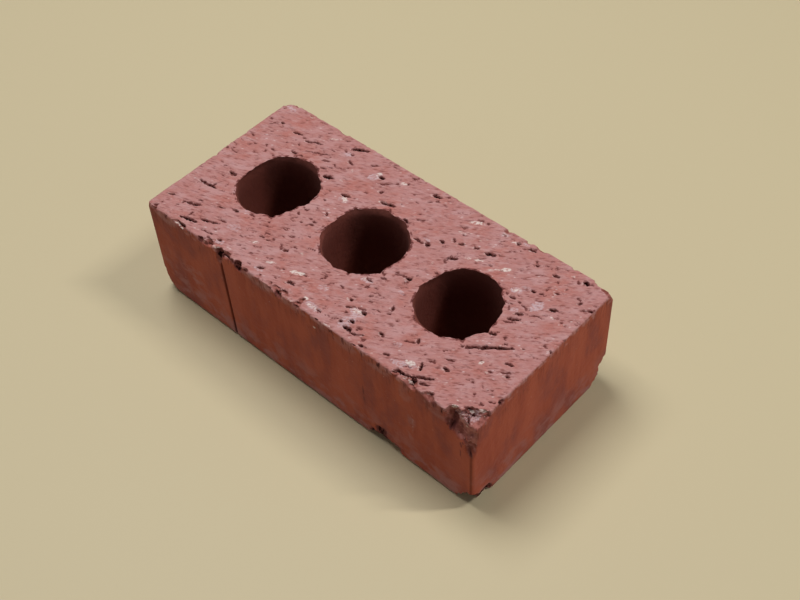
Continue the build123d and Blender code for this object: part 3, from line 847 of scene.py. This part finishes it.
# %% Bloom
BLOOM_TOP, BLOOM_LEFT, BLOOM_LEFT_ADDS = 22.0, (-45.0, -80.0), 12.0
BLOOM_MARKS = [
    (-84.0, -49.5, 14.0, 6.0, 0, 3), (-20.0, -49.0, 30.0, 6.0, 0, 3), (24.0, -50.0, 20.0, 8.0, 0, 2),
    (61.5, -53.5, 12.0, 8.0, 80, 1.4), (79.0, -51.0, 14.0, 8.0, 0, 2.2), (64.0, -75.0, 20.0, 5.0, 85, 2),
    (-75.0, -80.0, 26.0, 16.0, 60, 2.5), (-5.0, -49.0, 20.0, 5.0, 0, 2.5),
    (45.0, -50.0, 14.0, 6.0, 0, 2.5),
]

bloom_top = BLOOM_TOP + BLOOM_LEFT_ADDS * soft_step(*BLOOM_LEFT, skin[:, 0])
bloomed = np.where(zone == SIDE, np.clip(1 - skin[:, 2] / bloom_top, 0, 1), 0)
patches = mark_depth(BLOOM_MARKS) / BLACK * (zone[shown] == SIDE)
bloomed[shown] = np.maximum(bloomed[shown], patches)
print("bloom on", f"{(bloomed[zone == SIDE] > 0).mean():.0%}", "of the sides")

# %% [markdown]
# ## From arrays to a mesh
# Blender takes a mesh as flat lists: the places of the points, the corners of the faces one after another,
# and where each face starts. The foreach_set calls hand over whole arrays, which is far quicker than adding
# faces one by one. Points that belong to no face are left out, so the rest are numbered anew. Faces that
# meet at more than the sharp angle keep a hard edge between them.

# %% Put the skin into a mesh
SHARP_ANGLE = 48

renumber = np.zeros(len(skin), int)
renumber[used] = np.arange(len(used))
corner_points = renumber[all_corners]
corner_counts = np.concatenate([np.full(len(block), block.shape[1]) for block in faces])

mesh = bpy.data.meshes.new("fired_brick")
mesh.vertices.add(len(used))
mesh.vertices.foreach_set("co", (worn[used] * MM).ravel())
mesh.loops.add(len(corner_points))
mesh.loops.foreach_set("vertex_index", corner_points)
mesh.polygons.add(len(corner_counts))
mesh.polygons.foreach_set("loop_start", np.cumsum(corner_counts) - corner_counts)
mesh.update(calc_edges=True)
mesh.validate(verbose=False)
mesh.shade_smooth()
mesh.set_sharp_from_angle(angle=math.radians(SHARP_ANGLE))
print(len(mesh.vertices), "points and", len(mesh.polygons), "faces in the mesh")

# %% Masks on the mesh
masks = {
    "tear_and_shade": tear_and_shade / BLACK,
    "painted_lit_wall": painted_lit_wall / BLACK,
    "pale": pale / BLACK,
    "violet": violet / BLACK,
    "broken": broken,
    "bed": np.where((zone == BED) | (zone == UNDER), 1.0, SPILL_SHARE * spilt),
    "core": (zone == CORE).astype(float),
    "soot": soot,
    "bloom": bloomed,
    "crack": np.where(front_points, np.maximum(crack_dark, arris_shade), 0),
}
for name, values in masks.items():
    mesh.attributes.new(name, "FLOAT", "POINT").data.foreach_set("value", values[used])
drag = mesh.attributes.new("drag", "FLOAT_VECTOR", "POINT")
drag.data.foreach_set("vector", np.column_stack([along, across, skin[:, 2]])[used].ravel())
brick = bpy.data.objects.new("fired_brick", mesh)
bpy.context.collection.objects.link(brick)
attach(brick, "root")
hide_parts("brick")
print("masks", ", ".join(masks))

# %% [markdown]
# ## Fired clay
# One clay makes the whole brick, but each face was finished differently. The beds were cut by a wire, which
# leaves them dusty, pale and streaked. The sides slid along the die, which closes the surface and leaves it
# darker. A break shows greyer clay with grit in it. Several materials on one mesh would meet at hard
# borders, so one material mixes these by the masks, and every pattern is sized in millimetres.

# %% Colours and nodes
def linear(hex_colour):
    """An sRGB hex colour as linear red, green, blue and alpha."""
    srgb = [int(hex_colour[k : k + 2], 16) / 255 for k in (1, 3, 5)]
    return [c / 12.92 if c <= 0.04045 else ((c + 0.055) / 1.055) ** 2.4 for c in srgb] + [1.0]


def add(tree, kind, inputs, **settings):
    """Adds a node with its settings, and fills its inputs with values, colours or the outputs of others."""
    made = tree.nodes.new(kind)
    for name, value in settings.items():
        setattr(made, name, value)
    for name, value in inputs.items():
        if isinstance(value, bpy.types.Node):
            value = next(output for output in value.outputs if output.enabled)
        if isinstance(value, bpy.types.NodeSocket):
            tree.links.new(value, made.inputs[name])
        else:
            made.inputs[name].default_value = value
    return made


ATTRIBUTE, MAPPING, NOISE = "ShaderNodeAttribute", "ShaderNodeMapping", "ShaderNodeTexNoise"
RANGE, MIX, MATH = "ShaderNodeMapRange", "ShaderNodeMix", "ShaderNodeMath"
clay = bpy.data.materials.new("fired_clay")
clay.use_nodes = True
tree = clay.node_tree
shader = tree.nodes["Principled BSDF"]
mask = {name: add(tree, ATTRIBUTE, {}, attribute_name=name) for name in masks}
place = add(tree, "ShaderNodeTexCoord", {}).outputs["Object"]
# Where a pattern is drawn, and the size of a millimetre there
ON_BRICK = (place, MM)
ALONG_WIRE = (add(tree, ATTRIBUTE, {}, attribute_name="drag"), 1.0)
print("clay reads", len(mask), "masks")

# %% [markdown]
# ## Patterns in the clay
# A few helpers draw everything on the clay. A pattern is a noise stretched to real sizes, such as streaks
# along the wire. Specks are grit: a Voronoi texture picks some of its cells, and each has one spot. A
# layered colour is a ground with other colours over it, as a painter would glaze them.

# %% Patterns and layers
NOISE_ROUGHNESS = 0.6
SPECK_OUTER, SPECK_INNER = 1.5, 0.5


def stretched(where, size, shift):
    """How to map a place so that a lump of the given sizes in millimetres is one unit across each way."""
    source, unit = where
    return {"Vector": source, "Scale": [1 / (length * unit) for length in size], "Location": [shift] * 3}


def pattern(where, size, detail, low_end, high_end, top=1.0, shift=0.0):
    """A noise with lumps of the given sizes, spread from 0 at the low end to `top` at the high end."""
    moved = add(tree, MAPPING, stretched(where, size, shift))
    noise = add(tree, NOISE, {"Vector": moved, "Scale": 1.0, "Detail": detail, "Roughness": NOISE_ROUGHNESS})
    ends = {"Value": noise, "From Min": low_end, "From Max": high_end, "To Max": top}
    return add(tree, RANGE, ends, interpolation_type="SMOOTHSTEP")


def specks(where, size, reach, share, top=1.0, shift=0.0):
    """Grains in a share of the cells of the given sizes, each a spot of the given reach in cells."""
    moved = add(tree, MAPPING, stretched(where, size, shift))
    cells = add(tree, "ShaderNodeTexVoronoi", {"Vector": moved, "Scale": 1.0})
    ends = {"From Min": SPECK_OUTER * reach, "From Max": SPECK_INNER * reach}
    spot = add(tree, RANGE, {"Value": cells.outputs["Distance"], **ends})
    lot = add(tree, "ShaderNodeSeparateColor", {"Color": cells.outputs["Color"]}).outputs["Red"]
    drawn = add(tree, MATH, {0: lot, 1: share}, operation="LESS_THAN")
    amount = add(tree, MATH, {0: spot, 1: drawn}, operation="MULTIPLY")
    return add(tree, MATH, {0: amount, 1: top}, operation="MULTIPLY")


def layered(ground, *layers):
    """A ground with layers over it, each an amount from 0 to 1 and a colour, the last one on top."""
    for amount, colour in layers:
        ground = add(tree, MIX, {"Factor": amount, "A": ground, "B": colour}, data_type="RGBA")
    return ground


print("patterns are drawn in millimetres:", 1 / MM, "to the metre")

# %% [markdown]
# ## The wire-cut bed
# Dry, dusty clay, cut by wire: a matt pink that breaks into streaks along the wire, with darker slits,
# redder and greyer patches, and pale grit. The real streaks are a fraction of a millimetre wide, too fine
# for the render, so they are drawn coarser. A pattern that runs straight down has a very long third size.

# %% Wire-cut bed
STRAIGHT_DOWN = 100.0

streak = pattern(ALONG_WIRE, (4.0, 1.2, STRAIGHT_DOWN), 5, 0.32, 0.68)
hair = pattern(ALONG_WIRE, (2.5, 0.7, STRAIGHT_DOWN), 3, 0.48, 0.70, top=0.35, shift=3.3)
smear = pattern(ON_BRICK, (14.0, 14.0, 14.0), 3, 0.45, 0.68, top=0.75)
blotch = pattern(ALONG_WIRE, (9.0, 4.0, STRAIGHT_DOWN), 4, 0.46, 0.68, top=0.85, shift=8.8)
slit = pattern(ALONG_WIRE, (5.0, 0.8, STRAIGHT_DOWN), 4, 0.58, 0.68, top=0.65, shift=7.7)
dash = specks(ALONG_WIRE, (3.4, 0.9, STRAIGHT_DOWN), 0.34, 0.28, top=0.75, shift=21.3)
grit_spots = specks(ALONG_WIRE, (1.9, 0.9, STRAIGHT_DOWN), 0.32, 0.10, top=0.6, shift=11.1)
gritty = pattern(ALONG_WIRE, (14.0, 9.0, STRAIGHT_DOWN), 2, 0.46, 0.62, shift=17.7)
fleck = add(tree, MATH, {0: grit_spots, 1: gritty}, operation="MULTIPLY")
bed = layered(
    linear("#A76F69"),
    (streak, linear("#B07D7A")),
    (smear, linear("#A9665C")),
    (blotch, linear("#B58886")),
    (hair, linear("#BE938C")),
    (slit, linear("#7A423C")),
    (dash, linear("#7F4640")),
    (fleck, linear("#D2BBB9")),
)
print("bed colour from", bed.name)

# %% [markdown]
# ## The die-smoothed sides
# Clay closed and polished by the die: a warm red-brown, a little smoother than the bed, with long upright
# streaks where it slid. Grey bloom and darker mottling lie over it, and short dark strokes hang from the
# upper edge, where the wire pulled at the face.

# %% Die-smoothed sides
STROKES_FROM, STROKES_FULL, STROKES_TOP = 43.0 * MM, 56.0 * MM, 0.9

scour = pattern(ON_BRICK, (5.0, 5.0, 30.0), 4, 0.30, 0.70)
mottle = pattern(ON_BRICK, (12.0, 12.0, 26.0), 4, 0.42, 0.64, top=0.9, shift=2.2)
warm = pattern(ON_BRICK, (24.0, 24.0, 50.0), 3, 0.46, 0.66, top=0.7, shift=12.1)
bloom = pattern(ON_BRICK, (9.0, 9.0, 6.0), 4, 0.42, 0.64, shift=6.6)
bloom = add(tree, MATH, {0: bloom, 1: mask["bloom"]}, operation="MULTIPLY")
speck = pattern(ON_BRICK, (1.6, 1.6, 1.6), 2, 0.72, 0.78, top=0.5, shift=5.5)
stroke = pattern(ON_BRICK, (1.3, 1.3, 9.0), 3, 0.52, 0.66, shift=14.2)
above_foot = add(tree, "ShaderNodeSeparateXYZ", {"Vector": place}).outputs["Z"]
ends = {"From Min": STROKES_FROM, "From Max": STROKES_FULL, "To Max": STROKES_TOP}
near_top = add(tree, RANGE, {"Value": above_foot, **ends})
stroke = add(tree, MATH, {0: stroke, 1: near_top}, operation="MULTIPLY")
side = layered(
    linear("#944633"),
    (scour, linear("#A2513B")),
    (mottle, linear("#84433A")),
    (warm, linear("#A4533E")),
    (bloom, linear("#9C6A65")),
    (speck, linear("#BC9384")),
    (stroke, linear("#693025")),
)
print("side colour from", side.name)

# %% [markdown]
# ## Broken clay, marks and core walls
# A break shows the clay's inside: dull, greyer, with pale grit. The marks go over everything, broken up
# along the wire by a fine grain, because the mesh alone is too coarse for a crisp edge. Last come the black
# of the crack and the brown of the core walls.

# %% Broken clay
grit = pattern(ON_BRICK, (2.6, 2.6, 2.6), 5, 0.36, 0.64)
grain = pattern(ON_BRICK, (1.3, 1.3, 1.3), 3, 0.62, 0.70, shift=4.4)
fresh = layered(linear("#763D34"), (grit, linear("#A1645C")), (grain, linear("#C09C95")))
print("broken clay colour from", fresh.name)

# %% Marks over the clay
UNEVEN_LEAST = 0.4

fibre = pattern(ALONG_WIRE, (1.6, 0.6, 3.0), 3, 0.25, 0.75, top=1.2, shift=9.9)
uneven = add(tree, MATH, {0: fibre, 1: UNEVEN_LEAST}, operation="ADD")
speckle = pattern(ALONG_WIRE, (1.3, 0.8, 1.3), 4, 0.28, 0.72, top=2.0, shift=19.1)


def frayed_mask(name, grain, low_end, high_end, top):
    """A mask broken up by a grain along the wire, so it is crisper than the mesh."""
    both = add(tree, MATH, {0: mask[name], 1: grain}, operation="MULTIPLY")
    ends = {"Value": both, "From Min": low_end, "From Max": high_end, "To Max": top}
    return add(tree, RANGE, ends, interpolation_type="SMOOTHSTEP")


# Painted shade, near black, in the deep tears and the hollows
painted_hollow_shade = frayed_mask("tear_and_shade", uneven, 0.45, 0.95, 0.97)
# The core walls' own brown, with painted shade towards the back and under the rims
wall = layered(linear("#83453A"), (mask["soot"], linear("#5E2F27")))
colour = layered(
    side,
    (mask["bed"], bed),
    (mask["broken"], fresh),
    (frayed_mask("violet", speckle, 0.1, 1.2, 0.85), linear("#BFA3A6")),
    (frayed_mask("pale", speckle, 0.15, 1.2, 0.9), linear("#D8C8C0")),
    # Painted highlight on the far walls of the deep tears
    (frayed_mask("painted_lit_wall", speckle, 0.3, 1.2, 0.5), linear("#CBB2AD")),
    # Painted shade, a dark red-brown, in the shallower tears
    (frayed_mask("tear_and_shade", uneven, 0.08, 0.42, 0.95), linear("#6B3632")),
    (painted_hollow_shade, linear("#200D0B")),
    # Painted shade in the crack's mouth and in the line beside the near upright edge
    (mask["crack"], linear("#080403")),
    (mask["core"], wall),
)
print(len(tree.nodes), "nodes so far")

# %% [markdown]
# ## How fired clay takes the light
# Unglazed clay is matt: rough, with the refraction of a common ceramic and little shine. Its dark hollows
# shouldn't shine at all, so the shine fades there. Streaks and grit too fine for the mesh are left as a
# bump.

# %% Shine and bump
CLAY_ROUGHNESS, CLAY_IOR, CLAY_SHINE = 0.85, 1.45, 0.3
BUMP_HEIGHT, BUMP_STRENGTH = 0.2 * MM, 0.6

ridged = add(tree, MATH, {0: streak, 1: hair}, operation="ADD")
ridged = add(tree, MATH, {0: ridged, 1: slit}, operation="SUBTRACT")
ridged = add(tree, MATH, {0: ridged, 1: mask["bed"]}, operation="MULTIPLY")
ridged = add(tree, MATH, {0: ridged, 1: grit}, operation="ADD")
bump = add(tree, "ShaderNodeBump", {"Height": ridged, "Distance": BUMP_HEIGHT, "Strength": BUMP_STRENGTH})
dull = add(tree, MATH, {0: painted_hollow_shade, 1: mask["crack"]}, operation="MAXIMUM")
shine = add(tree, RANGE, {"Value": dull, "To Min": CLAY_SHINE, "To Max": 0.0})
tree.links.new(next(output for output in colour.outputs if output.enabled), shader.inputs["Base Color"])
tree.links.new(bump.outputs["Normal"], shader.inputs["Normal"])
tree.links.new(shine.outputs["Result"], shader.inputs["Specular IOR Level"])
shader.inputs["Roughness"].default_value = CLAY_ROUGHNESS
shader.inputs["IOR"].default_value = CLAY_IOR
mesh.materials.append(clay)
print("fired clay has", len(tree.nodes), "nodes")

# %% [markdown]
# ## Floor
# The brick stands on a plain pale floor. Only its colour and the shadows on it show, so one plane is
# enough. It is wide enough that its far edge is never seen, and it throws light back on to the foot of the
# sides.

# %% Pale floor
FLOOR_SIZE, FLOOR_ROUGHNESS = 60.0, 0.6

bpy.ops.mesh.primitive_plane_add(size=FLOOR_SIZE)
floor = bpy.context.active_object
floor.name = "floor"
pale_floor = bpy.data.materials.new("pale_floor")
pale_floor.use_nodes = True
floor_shader = pale_floor.node_tree.nodes["Principled BSDF"]
floor_shader.inputs["Base Color"].default_value = linear("#C0B28F")
floor_shader.inputs["Roughness"].default_value = FLOOR_ROUGHNESS
floor.data.materials.append(pale_floor)
print("floor", FLOOR_SIZE, "m wide")

# %% [markdown]
# ## Light
# The bed is bright, the end less so and the front least, and the core walls on the left catch light from
# the right. A soft light high above gives the bed its brightness. A narrow one to the right and behind
# reaches into the cores, and a weak low one fills the end. The world is bright at the horizon and dark
# above, so it lights the sides more than the bed.

# %% Sky
HORIZON, ZENITH, FADE_RISE = 0.82, 0.03, 0.6

world = bpy.data.worlds.new("studio")
bpy.context.scene.world = world
world.use_nodes = True
sky = world.node_tree
background = sky.nodes["Background"]
look_up = add(sky, "ShaderNodeTexCoord", {}).outputs["Generated"]
rise = add(sky, "ShaderNodeSeparateXYZ", {"Vector": look_up}).outputs["Z"]
fade = add(sky, RANGE, {"Value": rise, "From Max": FADE_RISE, "To Min": HORIZON, "To Max": ZENITH})
sky.links.new(fade.outputs["Result"], background.inputs["Strength"])
background.inputs["Color"].default_value = linear("#FFFFFF")
bpy.context.scene.view_settings.view_transform = "Standard"
print("sky from", HORIZON, "at the horizon to", ZENITH, "overhead")

# %% Lights
LIGHT_DISTANCE = 1.5
# Each light's name, compass angle from +X and height angle in degrees, power in watts, and width and height
LIGHTS = [
    ("overhead", 172, 72, 16.4, (0.7, 0.7)),
    ("right_window", 40, 57, 7.4, (0.08, 0.4)),
    ("right_fill", 15, 12, 1.9, (1.2, 0.4)),
]

for name, compass, rise_angle, power, (wide, tall) in LIGHTS:
    lamp = bpy.data.lights.new(name, "AREA")
    lamp.shape = "RECTANGLE"
    lamp.size = wide
    lamp.size_y = tall
    lamp.energy = power
    stand = bpy.data.objects.new(name, lamp)
    bpy.context.collection.objects.link(stand)
    a = math.radians(compass)
    e = math.radians(rise_angle)
    aim = Vector((math.cos(e) * math.cos(a), math.cos(e) * math.sin(a), math.sin(e)))
    stand.location = LIGHT_DISTANCE * aim
    stand.rotation_euler = (-aim).to_track_quat("-Z", "Y").to_euler()
print(len(LIGHTS), "lights")

# %% [markdown]
# ## Camera
# The camera looks down on the near corner, as the photo does. Its place, lens and slight roll were fitted
# to the brick's corners and core rims in the photo.

# %% Photo's view
SENSOR_WIDTH, LENS, ROLL = 36.0, 55.55, -3.333
EYE = Vector((0.27132, -0.25785, 0.44486))
TARGET = Vector((0.01404, 0.00199, 0.0285))

camera = bpy.data.cameras.new("camera")
camera.sensor_width = SENSOR_WIDTH
camera.lens = LENS
camera_object = bpy.data.objects.new("camera", camera)
bpy.context.collection.objects.link(camera_object)
turn = (TARGET - EYE).to_track_quat("-Z", "Y").to_matrix().to_4x4()
camera_object.matrix_world = Matrix.Translation(EYE) @ turn @ Matrix.Rotation(math.radians(ROLL), 4, "Z")
bpy.context.scene.camera = camera_object
print("camera", round((TARGET - EYE).length, 3), "m from the brick")

# %% [markdown]
# ## Sizes
# The dressed brick should fill the same box as the plain solid.

# %% Update the scene
bpy.context.view_layer.update()
